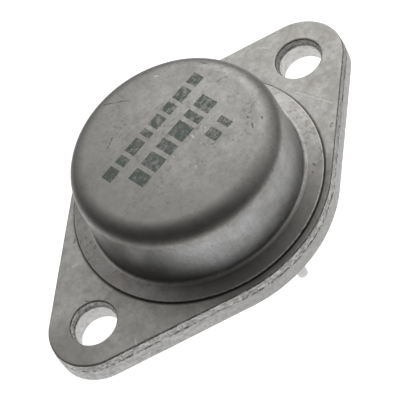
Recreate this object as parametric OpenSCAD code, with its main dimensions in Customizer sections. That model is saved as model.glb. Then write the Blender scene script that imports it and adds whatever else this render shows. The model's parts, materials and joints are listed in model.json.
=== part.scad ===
// Power transistor in a two-pin metal can: diamond flange, drawn cap, glass sealed pins and chip.
// The origin is the centre of the flange's underside. +Z runs up through the cap, +X along the
// line of the two mounting holes, and the pins lie on the +X side of the centre.

/* [Flange] */
// Distance between the two mounting holes
hole_pitch = 30.15; // [29:0.05:31.5]
// Radius of the smooth part of a mounting hole
hole_r = 1.95; // [1.8:0.05:2.1]
// Widening of a mounting hole towards the flange's top, where the punched wall broke out
hole_break_w = 0.18; // [0.1:0.01:0.25]
// Height of the smooth, sheared band in a mounting hole, with its rounded lower lip
hole_shear_h = 1.75; // [1.2:0.05:1.9]
// Rounding of a mounting hole's lips
hole_lip = 0.15; // [0.08:0.01:0.2]
// Radius of the flange's rounded ends
end_r = 4.25; // [3.8:0.05:4.6]
// Width of the flange's face beyond the cap's brim, at its middle
flange_margin = 0.7; // [0.5:0.05:1.2]
// Thickness of the flange plate
plate_t = 2.5; // [2.3:0.05:3]
// Rolled radius of the flange's lower edge
edge_roll = 0.2; // [0.1:0.05:0.3]
// Height of the smooth, sheared band on the flange's outer wall
wall_shear_h = 1.55; // [1.2:0.05:1.8]
// How far the broken upper band leans in
wall_lean = 0.08; // [0.04:0.01:0.15]
// Rounding of the flange's upper edge
edge_round = 0.15; // [0.08:0.01:0.2]

/* [Cap] */
// Outer radius of the cap's wall just above the brim
wall_base_r = 9.8; // [9.7:0.02:9.9]
// Radius by which the wall narrows from the brim up to the shoulder
wall_taper = 0.22; // [0.1:0.02:0.3]
// Thickness of the cap's drawn sheet
cap_t = 0.45; // [0.35:0.05:0.55]
// Radius of the hollow where the wall meets the brim
brim_fillet = 0.25; // [0.2:0.05:0.4]
// Width of the brim outside that hollow
brim_w = 1.45; // [1.3:0.05:1.55]
// Thickness of the brim's outer edge, which the weld press squeezed thin
brim_edge_t = 0.2; // [0.15:0.01:0.3]
// Height of the narrow gap that the weld ridge leaves under the brim
ridge_h = 0.06; // [0.04:0.01:0.1]
// Width of the brim's underside on each side of the weld ridge
ridge_margin = 0.4; // [0.3:0.05:0.5]
// Height of the cap's top above the flange's underside
cap_h = 9.8; // [9.2:0.05:11.4]
// Reach of the rounded shoulder inwards from the wall
shoulder_w = 1.9; // [1.4:0.05:2.4]
// Depth of the rounded shoulder below the top
shoulder_h = 1.75; // [1.3:0.05:2.2]
// Rise of the slightly domed top
dome_h = 0.1; // [0.05:0.01:0.2]

/* [Pins and seals] */
// Radius of a pin's tinned leg
pin_r = 0.5; // [0.45:0.01:0.55]
// Thickness of the tin on a pin's leg
tin_t = 0.02; // [0.01:0.005:0.03]
// Length over which the tin thins out up to the flange's underside
tin_run = 0.6; // [0.55:0.05:1]
// Distance between the two pins
pin_pitch = 10.92; // [10.7:0.02:11.2]
// Distance of the pins' line from the flange's centre
pin_x = 1.8; // [1.6:0.05:2]
// Length of a pin below the flange's underside
pin_below = 11; // [7:0.1:12.2]
// Rounding of a pin's lower tip
pin_tip = 0.3; // [0.15:0.05:0.4]
// Chamfer of a pin's upper end
pin_chamfer = 0.08; // [0.04:0.01:0.12]
// Length of a pin's end above its solder collar
pin_proud = 0.1; // [0.1:0.05:0.3]
// Radius of a glass seal
seal_r = 1.75; // [1.6:0.05:1.8]
// Depth of the glass below the flange's faces
seal_sink = 0.15; // [0.1:0.05:0.3]
// Width of the glass that wets the flange's hole wall
seal_wet_w = 0.25; // [0.15:0.05:0.35]
// Height that the glass creeps up a pin
seal_creep = 0.25; // [0.15:0.05:0.3]
// Width of the glass that creeps up a pin
creep_w = 0.3; // [0.2:0.05:0.4]

/* [Chip and its carrier] */
// Length of the copper heat spreader
spreader_l = 11; // [10:0.1:12]
// Gap between the heat spreader's long side and a glass seal
spreader_gap = 0.31; // [0.2:0.01:0.35]
// Thickness of the copper heat spreader
spreader_t = 1; // [0.8:0.05:1.3]
// Corner radius of the copper heat spreader
spreader_corner = 0.8; // [0.4:0.1:1.2]
// Thickness of the braze under the heat spreader
braze_t = 0.08; // [0.05:0.01:0.12]
// Bare width of the heat spreader beside the silicone dab
dab_margin = 0.15; // [0.1:0.01:0.2]
// Cover of the silicone past the corners of the chip's solder
dab_over = 0.21; // [0.15:0.01:0.25]
// Height of the silicone dab above the heat spreader
dab_h = 1.15; // [1:0.05:1.3]
// Thickness of the silicon chip
die_t = 0.25; // [0.2:0.01:0.35]
// Distance of the chip's near side past the pins' line
pad_edge = 1; // [0.9:0.05:1.1]
// Thickness of the solder under the chip
die_solder_t = 0.08; // [0.05:0.01:0.12]
// Width by which that solder runs out past the chip
die_solder_out = 0.15; // [0.05:0.05:0.2]

/* [Clips] */
// Thickness of a clip's metal strip
clip_t = 0.2; // [0.15:0.01:0.25]
// Width of the base clip
base_clip_w = 1.1; // [1:0.05:1.4]
// Width of the emitter clip
emitter_clip_w = 1.5; // [1.2:0.05:1.7]
// Distance from the far end of a clip's foot to the chip's side
foot_margin = 0.35; // [0.25:0.05:0.45]
// Length of the base clip's foot
base_foot_l = 0.8; // [0.6:0.05:0.8]
// Length of the emitter clip's foot
emitter_foot_l = 1.3; // [1:0.05:1.3]
// Thickness of the solder under a clip's foot
foot_solder_t = 0.08; // [0.05:0.01:0.12]
// Width of the bare rim of a foot around its solder
foot_rim = 0.08; // [0.05:0.01:0.15]
// Slope length of a clip's riser, measured along the flange
riser_run = 1; // [0.8:0.05:1.2]
// Rise of a clip's arm above its foot
clip_rise = 0.96; // [0.7:0.02:1.3]
// Length of a clip past its pin's axis
clip_past = 0.95; // [0.9:0.05:1.1]
// Gap between a pin and the hole in its clip
clip_hole_gap = 0.06; // [0.04:0.01:0.1]
// Width of the clip's metal beside its hole
clip_rim = 0.37; // [0.35:0.01:0.45]
// Width of the solder collar around a pin's upper end
collar_w = 0.35; // [0.25:0.05:0.35]
// Height of the solder collar
collar_h = 0.45; // [0.35:0.05:0.55]
// Width of the solder collar's upper rim
collar_top_w = 0.08; // [0.05:0.01:0.12]
// Width by which the collar's foot spreads past its waist
collar_spread = 0.1; // [0.05:0.01:0.15]

/* [Hidden] */
$fn = 96;
PLATE_FN = 64;
ARC_STEPS = 8;
EDGE_STEPS = 3;
TIP_STEPS = 5;
SHOULDER_STEPS = 12;
DAB_STEPS = 14;
OVER = 1;
// Share of the brim's edge thickness that its rounding takes
BRIM_EDGE_SHARE = 0.4;

STEEL = [0.66, 0.65, 0.62];
CAP_STEEL = [0.62, 0.61, 0.59];
PIN_METAL = [0.74, 0.73, 0.70];
GLASS = [0.20, 0.26, 0.30];
COPPER = [0.78, 0.48, 0.34];
SOLDER = [0.70, 0.71, 0.72];
SILICON = [0.32, 0.34, 0.38];
CLIP_METAL = [0.80, 0.78, 0.72];
SILICONE = [0.90, 0.90, 0.87];

base_side = 1;
emitter_side = -1;
hole_x = hole_pitch / 2;
pin_y = pin_pitch / 2;
wire_r = pin_r - tin_t;

brim_foot_r = wall_base_r + brim_fillet;
brim_r = brim_foot_r + brim_w;
mid_r = brim_r + flange_margin;
brim_low_z = plate_t + ridge_h;
brim_top_z = brim_low_z + cap_t;
brim_edge_z = brim_low_z + brim_edge_t;
crown_z = cap_h - dome_h;

spreader_w = 2 * (pin_y - seal_r - spreader_gap);
dab_r = spreader_w / 2 - dab_margin;
die_w = sqrt(2) * (dab_r - dab_over) - 2 * die_solder_out;
die_x = pin_x + pad_edge - die_w / 2;

spreader_z = plate_t + braze_t;
die_solder_z = spreader_z + spreader_t;
die_z = die_solder_z + die_solder_t;
pad_z = die_z + die_t;
foot_z = pad_z + foot_solder_t;
arm_z = foot_z + clip_rise;
collar_z = arm_z + clip_t;
pin_top_z = collar_z + collar_h + pin_proud;

// Points of a quarter arc or a shorter one, with its own radius along each axis
function arc(c, rx, ry, a0, a1, steps = ARC_STEPS) =
    [for (i = [0:steps]) let (a = a0 + (a1 - a0) * i / steps) [c[0] + rx * cos(a), c[1] + ry * sin(a)]];

// Half section of a round stretch of the plate, of radius r
function plate_section(r) = concat(
    [[0, 0]],
    arc([r - edge_roll, edge_roll], edge_roll, edge_roll, -90, 0, EDGE_STEPS),
    [[r, wall_shear_h]],
    arc([r - wall_lean - edge_round, plate_t - edge_round], edge_round, edge_round, 0, 90, EDGE_STEPS),
    [[0, plate_t]]);

// The punched diamond: two round ends and a round middle, joined by straight tangents
module plate() {
    hull() {
        rotate_extrude($fn = PLATE_FN) polygon(plate_section(mid_r));
        for (s = [-1, 1]) translate([s * hole_x, 0, 0])
            rotate_extrude($fn = PLATE_FN) polygon(plate_section(end_r));
    }
}

// Punched hole: smooth from below, then broken out wider towards the top
module mounting_hole_cut() {
    top_r = hole_r + hole_break_w;
    rotate_extrude() polygon([
        [0, -OVER], [hole_r + hole_lip, -OVER], [hole_r + hole_lip, 0], [hole_r, hole_lip],
        [hole_r, hole_shear_h], [hole_r + hole_break_w / 2, hole_shear_h + hole_lip],
        [top_r, plate_t - hole_lip], [top_r + hole_lip, plate_t], [top_r + hole_lip, plate_t + OVER],
        [0, plate_t + OVER]]);
}

module base_flange() {
    color(STEEL) difference() {
        plate();
        for (s = [-1, 1]) translate([s * hole_x, 0, 0]) mounting_hole_cut();
        for (s = [base_side, emitter_side]) translate([pin_x, s * pin_y, -OVER])
            cylinder(h = plate_t + 2 * OVER, r = seal_r);
    }
}

// Drawn cap, as one closed section turned about the axis
module cap() {
    bend = brim_fillet + cap_t;
    flat_r = wall_base_r - wall_taper - shoulder_w;
    edge = brim_edge_t * BRIM_EDGE_SHARE;
    ridge_in = brim_foot_r + ridge_margin;
    ridge_out = brim_r - ridge_margin;
    ridge_lean = (ridge_out - ridge_in) / 4;
    color(CAP_STEEL) rotate_extrude() polygon(concat(
        [[ridge_in, brim_low_z], [ridge_in + ridge_lean, plate_t],
         [ridge_out - ridge_lean, plate_t], [ridge_out, brim_low_z]],
        arc([brim_r - edge, brim_low_z + edge], edge, edge, -90, 0, EDGE_STEPS),
        arc([brim_r - edge, brim_edge_z - edge], edge, edge, 0, 90, EDGE_STEPS),
        arc([brim_foot_r, brim_top_z + brim_fillet], brim_fillet, brim_fillet, 270, 180),
        arc([flat_r, crown_z - shoulder_h], shoulder_w, shoulder_h, 0, 90, SHOULDER_STEPS),
        [[flat_r / 2, cap_h - dome_h / 4], [0, cap_h], [0, cap_h - cap_t],
         [flat_r / 2, cap_h - dome_h / 4 - cap_t]],
        arc([flat_r, crown_z - shoulder_h], shoulder_w - cap_t, shoulder_h - cap_t, 90, 0, SHOULDER_STEPS),
        arc([brim_foot_r, brim_low_z + bend], bend, bend, 180, 270)));
}

// Round wire, bare in the glass and in the can, and tinned on its leg
module pin() {
    rotate_extrude() polygon(concat(
        [[0, -pin_below]],
        arc([pin_r - pin_tip, pin_tip - pin_below], pin_tip, pin_tip, -90, 0, TIP_STEPS),
        [[pin_r, -tin_run], [wire_r, 0],
         [wire_r, pin_top_z - pin_chamfer], [wire_r - pin_chamfer, pin_top_z], [0, pin_top_z]]));
}

// Fused glass with a small hollow face below and above, creeping up the pin
module pin_seal() {
    rotate_extrude() polygon([
        [wire_r, seal_sink - seal_creep / 3], [wire_r + creep_w, seal_sink], [seal_r - seal_wet_w, seal_sink],
        [seal_r, seal_sink / 2], [seal_r, plate_t - seal_sink / 2],
        [seal_r - seal_wet_w, plate_t - seal_sink], [wire_r + creep_w, plate_t - seal_sink],
        [wire_r, plate_t - seal_sink + seal_creep]]);
}

module at_pin(side) {
    translate([pin_x, side * pin_y, 0]) children();
}

module base_pin() { color(PIN_METAL) at_pin(base_side) pin(); }
module emitter_pin() { color(PIN_METAL) at_pin(emitter_side) pin(); }
module base_pin_seal() { color(GLASS) at_pin(base_side) pin_seal(); }
module emitter_pin_seal() { color(GLASS) at_pin(emitter_side) pin_seal(); }

// Heat spreader's plan: a rectangle with round corners
module spreader_plan() {
    inner_l = spreader_l - 2 * spreader_corner;
    inner_w = spreader_w - 2 * spreader_corner;
    square([inner_l, spreader_w], center = true);
    square([spreader_l, inner_w], center = true);
    for (x = [-1, 1], y = [-1, 1]) translate([x * inner_l / 2, y * inner_w / 2]) circle(spreader_corner);
}

module spreader_braze() {
    color(SOLDER) translate([0, 0, plate_t]) linear_extrude(braze_t) spreader_plan();
}

module heat_spreader() {
    color(COPPER) translate([0, 0, spreader_z]) linear_extrude(spreader_t) spreader_plan();
}

module die_solder() {
    w = die_w + 2 * die_solder_out;
    color(SOLDER) translate([die_x - w / 2, -w / 2, die_solder_z]) cube([w, w, die_solder_t]);
}

module silicon_die() {
    color(SILICON) translate([die_x - die_w / 2, -die_w / 2, die_z]) cube([die_w, die_w, die_t]);
}

// Mirrors what is drawn for the +Y side to the side of one pin
module on_side(side) {
    mirror([0, side == emitter_side ? 1 : 0, 0]) children();
}

// Solder on a chip pad, under a clip's foot
module foot_solder(foot_l, w) {
    foot_y = die_w / 2 - foot_margin - foot_l;
    color(SOLDER) translate([pin_x - w / 2 + foot_rim, foot_y + foot_rim, pad_z])
        cube([w - 2 * foot_rim, foot_l - 2 * foot_rim, foot_solder_t]);
}

module base_die_solder() { on_side(base_side) foot_solder(base_foot_l, base_clip_w); }
module emitter_die_solder() { on_side(emitter_side) foot_solder(emitter_foot_l, emitter_clip_w); }

// Bent strip from a chip pad up and out to its pin
module clip_strip(foot_l, w) {
    bend_y = die_w / 2 - foot_margin;
    foot_y = bend_y - foot_l;
    slope = clip_rise / riser_run;
    // shift of the strip's upper surface along the slope, so that it keeps its thickness
    lead = clip_t * (sqrt(1 + slope * slope) - 1) / slope;
    hole_edge = wire_r + clip_hole_gap;
    tip_w = 2 * (hole_edge + clip_rim);
    color(CLIP_METAL) difference() {
        union() {
            translate([pin_x - w / 2, 0, 0]) rotate([90, 0, 90]) linear_extrude(w) polygon([
                [foot_y, foot_z], [bend_y, foot_z], [bend_y + riser_run, arm_z],
                [pin_y, arm_z], [pin_y, arm_z + clip_t],
                [bend_y + riser_run - lead, arm_z + clip_t], [bend_y - lead, foot_z + clip_t],
                [foot_y, foot_z + clip_t]]);
            translate([pin_x - tip_w / 2, pin_y - tip_w / 2, arm_z])
                cube([tip_w, tip_w / 2 + clip_past, clip_t]);
        }
        translate([pin_x, pin_y, arm_z - OVER]) cylinder(h = clip_t + 2 * OVER, r = hole_edge);
    }
}

module base_clip() { on_side(base_side) clip_strip(base_foot_l, base_clip_w); }
module emitter_clip() { on_side(emitter_side) clip_strip(emitter_foot_l, emitter_clip_w); }

// Solder collar on the clip, around the pin's upper end
module pin_solder() {
    foot_r = wire_r + collar_w;
    rotate_extrude() polygon([
        [wire_r, collar_z], [foot_r, collar_z], [foot_r - collar_spread, collar_z + collar_h / 3],
        [wire_r + collar_top_w, collar_z + collar_h], [wire_r, collar_z + collar_h]]);
}

module base_pin_solder() { color(SOLDER) at_pin(base_side) pin_solder(); }
module emitter_pin_solder() { color(SOLDER) at_pin(emitter_side) pin_solder(); }

// Silicone dab over the chip, with the room of the chip, its solders and the clips left out
module junction_coating() {
    color(SILICONE) difference() {
        translate([die_x, 0, die_solder_z]) rotate_extrude()
            polygon(concat([[0, 0]], arc([0, 0], dab_r, dab_h, 0, 90, DAB_STEPS)));
        die_solder();
        silicon_die();
        base_die_solder();
        emitter_die_solder();
        base_clip();
        emitter_clip();
    }
}

base_flange();
cap();
base_pin();
emitter_pin();
base_pin_seal();
emitter_pin_seal();
spreader_braze();
heat_spreader();
die_solder();
silicon_die();
base_die_solder();
emitter_die_solder();
base_clip();
emitter_clip();
base_pin_solder();
emitter_pin_solder();
junction_coating();
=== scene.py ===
"""Power transistor in a two-pin metal can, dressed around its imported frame."""
import json
import logging
import math
from dataclasses import dataclass
from enum import Enum
from typing import Callable, Iterable, Sequence

import bmesh
import bpy
from mathutils import Matrix, Vector, noise


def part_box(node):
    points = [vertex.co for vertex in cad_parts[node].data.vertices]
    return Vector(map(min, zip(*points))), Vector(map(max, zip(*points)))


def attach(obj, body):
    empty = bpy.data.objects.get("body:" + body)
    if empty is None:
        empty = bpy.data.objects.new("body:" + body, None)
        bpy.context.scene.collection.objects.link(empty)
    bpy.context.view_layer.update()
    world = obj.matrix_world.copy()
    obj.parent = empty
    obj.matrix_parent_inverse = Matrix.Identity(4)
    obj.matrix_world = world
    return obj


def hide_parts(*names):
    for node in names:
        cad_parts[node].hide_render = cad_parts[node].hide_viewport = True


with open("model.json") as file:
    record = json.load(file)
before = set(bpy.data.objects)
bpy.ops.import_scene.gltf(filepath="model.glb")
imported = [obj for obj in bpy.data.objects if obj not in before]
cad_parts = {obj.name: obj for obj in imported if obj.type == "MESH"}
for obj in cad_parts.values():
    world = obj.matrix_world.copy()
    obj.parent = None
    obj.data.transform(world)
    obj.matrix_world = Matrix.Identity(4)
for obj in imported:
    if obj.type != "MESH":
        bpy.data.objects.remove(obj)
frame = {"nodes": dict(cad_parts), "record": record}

LOG = logging.getLogger("transistor")
MM = 0.001
IMAGE_SIDE = 400.0
SENSOR_MM = 36.0
TINY = 1e-6

Point = tuple[float, float]
Ring = list[Point]
Place = tuple[float, float, float]
Colour = tuple[float, float, float]
Socket = bpy.types.NodeSocket
Value = Socket | float | tuple
Loop = list[bmesh.types.BMVert]


class Slot(Enum):
    """The record's material slots of the pieces that are dressed: flange, cap, pins and glass."""

    FLANGE = "flange_steel"
    CAP = "cap_steel"
    PIN = "pin_metal"
    GLASS = "seal_glass"


class Band(Enum):
    """The flange's bands, each with its own finish, by the index of the material."""

    FACE = 0
    TORN = 1
    SHEARED = 2
    BORE = 3


@dataclass(frozen=True)
class Stroke:
    """Short straight mark on an upper face, seen from above, in millimetres."""

    start: Point
    end: Point
    width: float


@dataclass(frozen=True)
class Grain:
    """Noise field: features per millimetre, octaves of finer noise, their weight, and warp."""

    scale: float
    detail: float = 3.0
    rough: float = 0.55
    warp: float = 0.0


@dataclass(frozen=True)
class Fade:
    """Smooth step from one range to another, held at both ends."""

    low: float
    high: float
    out_low: float = 0.0
    out_high: float = 1.0

    def at(self, origin: float) -> "Fade":
        """Return the same step with its input range counted from an origin."""
        return Fade(origin + self.low, origin + self.high, self.out_low, self.out_high)


@dataclass(frozen=True)
class Sheen:
    """Roughness, and how far a noise field moves it down and up."""

    middle: float
    below: float = 0.06
    above: float = 0.08
    noise_low: float = 0.3
    noise_high: float = 0.7

    def fade(self) -> Fade:
        """Return the step from a noise field to the roughness."""
        return Fade(self.noise_low, self.noise_high, self.middle - self.below, self.middle + self.above)


@dataclass(frozen=True)
class Dots:
    """Small scattered dots that show only in patches."""

    per_mm: float
    size: Fade
    patches: Grain
    shown: Fade


class NodeBench:
    """A node tree, with short calls for the nodes that the looks need."""

    def __init__(self, tree: bpy.types.NodeTree) -> None:
        """Start on a node tree, which is cleared."""
        self.tree = tree
        self.tree.nodes.clear()

    def add(self, kind: str, **settings: str) -> bpy.types.Node:
        """Add a node.

        Args:
            kind: Blender's name of the type, without "ShaderNode" before it.
            settings: The node's own settings.

        Returns:
            The node.
        """
        node = self.tree.nodes.new("ShaderNode" + kind)
        for name, setting in settings.items():
            setattr(node, name, setting)
        return node

    def feed(self, socket: Socket, value: Value) -> None:
        """Link a socket to another socket, or set its plain value.

        Args:
            socket: The input socket.
            value: A socket, a number, a vector or a colour.
        """
        if isinstance(value, Socket):
            self.tree.links.new(value, socket)
        elif socket.type == "RGBA":
            socket.default_value = (*value, 1.0)
        else:
            socket.default_value = value

    def math(self, operation: str, a: Value, b: Value = 0.0) -> Socket:
        """Add a math node.

        Args:
            operation: Blender's name of the operation.
            a: First operand.
            b: Second operand.

        Returns:
            The result's socket.
        """
        node = self.add("Math", operation=operation)
        self.feed(node.inputs[0], a)
        self.feed(node.inputs[1], b)
        return node.outputs[0]

    def chain(self, operation: str, values: Sequence[Value]) -> Socket:
        """Join several values with one operation, from the first to the last.

        Args:
            operation: Blender's name of the operation.
            values: Two values or more.

        Returns:
            The result's socket.
        """
        total = values[0]
        for value in values[1:]:
            total = self.math(operation, total, value)
        return total

    def product(self, *values: Value) -> Socket:
        """Return the product of several values."""
        return self.chain("MULTIPLY", values)

    def highest(self, *values: Value) -> Socket:
        """Return the highest of several values."""
        return self.chain("MAXIMUM", values)

    def less(self, a: Value, b: Value) -> Socket:
        """Return the first value less the second."""
        return self.math("SUBTRACT", a, b)

    def gap(self, a: Value, b: Value) -> Socket:
        """Return how far apart two values are."""
        return self.math("ABSOLUTE", self.less(a, b))

    def weigh(self, operation: str, a: Value, b: Value) -> Socket:
        """Make one number of two vectors.

        Args:
            operation: Blender's name of the operation.
            a: First vector.
            b: Second vector.

        Returns:
            The number's socket.
        """
        node = self.add("VectorMath", operation=operation)
        self.feed(node.inputs[0], a)
        self.feed(node.inputs[1], b)
        return node.outputs["Value"]

    def split(self, vector: Socket) -> tuple[Socket, ...]:
        """Take a vector apart.

        Args:
            vector: The vector's socket.

        Returns:
            The X, Y and Z sockets.
        """
        node = self.add("SeparateXYZ")
        self.feed(node.inputs[0], vector)
        return tuple(node.outputs)

    def join(self, x: Value, y: Value, z: Value) -> Socket:
        """Make a vector of three numbers.

        Args:
            x: First number.
            y: Second number.
            z: Third number.

        Returns:
            The vector's socket.
        """
        node = self.add("CombineXYZ")
        for socket, value in zip(node.inputs, (x, y, z)):
            self.feed(socket, value)
        return node.outputs[0]

    def ramp(self, value: Value, fade: Fade) -> Socket:
        """Map a value smoothly from one range to another.

        Args:
            value: The value.
            fade: The two ranges.

        Returns:
            The mapped value's socket.
        """
        node = self.add("MapRange", interpolation_type="SMOOTHSTEP")
        self.feed(node.inputs["Value"], value)
        node.inputs["From Min"].default_value = fade.low
        node.inputs["From Max"].default_value = fade.high
        node.inputs["To Min"].default_value = fade.out_low
        node.inputs["To Max"].default_value = fade.out_high
        return node.outputs["Result"]


class FinishBench(NodeBench):
    """A material's node tree, measured in the object's own millimetres."""

    ragged = Grain(7.0, 3.0, 0.6)
    ragged_mm = 0.16
    soft_edge = 1.1
    facing_up = Fade(0.35, 0.6)
    broken = Grain(4.0, 2.0, 0.6)
    broken_share = Fade(0.3, 0.6, 0.25, 0.8)

    def __init__(self, name: str) -> None:
        """Start a material with one Principled shader.

        Args:
            name: Name of the new material.
        """
        self.material = bpy.data.materials.new(name)
        self.material.use_nodes = True
        super().__init__(self.material.node_tree)
        self.shader = self.add("BsdfPrincipled")
        output = self.add("OutputMaterial")
        self.feed(output.inputs["Surface"], self.shader.outputs["BSDF"])
        scale = self.add("VectorMath", operation="SCALE")
        scale.inputs["Scale"].default_value = 1.0 / MM
        self.feed(scale.inputs[0], self.add("TexCoord").outputs["Object"])
        self.place = scale.outputs["Vector"]

    def grain(self, look: Grain, where: Socket | None = None) -> Socket:
        """Add a noise field.

        Args:
            look: Size and character of the noise.
            where: Vector socket, or None for the object's own millimetres.

        Returns:
            The noise value's socket, about 0 to 1.
        """
        node = self.add("TexNoise")
        self.feed(node.inputs["Vector"], where or self.place)
        node.inputs["Scale"].default_value = look.scale
        node.inputs["Detail"].default_value = look.detail
        node.inputs["Roughness"].default_value = look.rough
        node.inputs["Distortion"].default_value = look.warp
        return node.outputs[0]

    def patches(self, look: Grain, fade: Fade) -> Socket:
        """Return a noise field made into soft patches."""
        return self.ramp(self.grain(look), fade)

    def dots(self, look: Dots) -> Socket:
        """Add small scattered dots.

        Args:
            look: Spacing and size of the dots and where they show.

        Returns:
            The mask's socket, 0 to 1.
        """
        node = self.add("TexVoronoi")
        self.feed(node.inputs["Vector"], self.place)
        node.inputs["Scale"].default_value = look.per_mm
        size = self.ramp(node.outputs["Distance"], look.size)
        return self.product(size, self.patches(look.patches, look.shown))

    def away(self, spot: Point = (0.0, 0.0)) -> Socket:
        """Measure the distance from a spot, seen from above.

        Args:
            spot: The spot in millimetres, or nothing for the cap's axis.

        Returns:
            The distance's socket, in millimetres.
        """
        x, y, _ = self.split(self.place)
        dx, dy = self.less(x, spot[0]), self.less(y, spot[1])
        return self.math("SQRT", self.math("ADD", self.product(dx, dx), self.product(dy, dy)))

    def strokes(self, marks: Sequence[Stroke]) -> Socket:
        """Draw short marks on the faces that look up, with their edges broken up by noise.

        Args:
            marks: The marks.

        Returns:
            The mask's socket, 0 to 1.
        """
        x, y, _ = self.split(self.place)
        ragged = self.product(self.grain(self.ragged), self.ragged_mm)
        masks: list[Value] = [0.0]
        for mark in marks:
            run = Vector(mark.end) - Vector(mark.start)
            way = run.normalized()
            dx, dy = self.less(x, mark.start[0]), self.less(y, mark.start[1])
            along = self.math("ADD", self.product(dx, way.x), self.product(dy, way.y))
            across = self.less(self.product(dy, way.x), self.product(dx, way.y))
            past = self.less(self.gap(along, run.length / 2), run.length / 2)
            far = self.math("ADD", self.highest(past, 0.0), self.math("ABSOLUTE", across))
            far = self.math("ADD", far, self.less(ragged, self.ragged_mm / 2))
            masks.append(self.ramp(far, Fade(mark.width * self.soft_edge, 0.0)))
        _, _, upward = self.split(self.add("NewGeometry").outputs["Normal"])
        return self.product(self.highest(*masks), self.ramp(upward, self.facing_up),
                            self.patches(self.broken, self.broken_share))

    def mix(self, share: Value, a: Value, b: Value) -> Socket:
        """Mix two colours.

        Args:
            share: Share of the second colour.
            a: First colour.
            b: Second colour.

        Returns:
            The mixed colour's socket.
        """
        node = self.add("Mix", data_type="RGBA")
        self.feed(node.inputs[0], share)
        self.feed(node.inputs[6], a)
        self.feed(node.inputs[7], b)
        return node.outputs[2]

    def layer(self, base: Value, coats: Iterable[tuple[Value, Colour]]) -> Socket:
        """Lay colours over a base, one after another.

        Args:
            base: The first colour.
            coats: Each coat's share and colour.

        Returns:
            The last colour's socket.
        """
        for share, colour in coats:
            base = self.mix(share, base, colour)
        return base

    def bump(self, heights: Iterable[tuple[Socket, float]]) -> Socket:
        """Lay bumps over one another.

        Args:
            heights: Each bump's height field, 0 to 1, and the millimetres that 1 stands for.

        Returns:
            The bumped normal's socket.
        """
        normal = None
        for height, depth_mm in heights:
            node = self.add("Bump")
            node.inputs["Distance"].default_value = depth_mm * MM
            self.feed(node.inputs["Height"], height)
            if normal is not None:
                self.feed(node.inputs["Normal"], normal)
            normal = node.outputs["Normal"]
        return normal

    def finish(self, colour: Value, roughness: Value, normal: Socket, metallic: float) -> bpy.types.Material:
        """Feed the shader and hand over the material.

        Args:
            colour: Base colour.
            roughness: Roughness.
            normal: Bumped normal.
            metallic: 1 for bare metal, 0 for anything else.

        Returns:
            The finished material.
        """
        self.feed(self.shader.inputs["Base Color"], colour)
        self.feed(self.shader.inputs["Roughness"], roughness)
        self.shader.inputs["Metallic"].default_value = metallic
        self.feed(self.shader.inputs["Normal"], normal)
        return self.material


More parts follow.
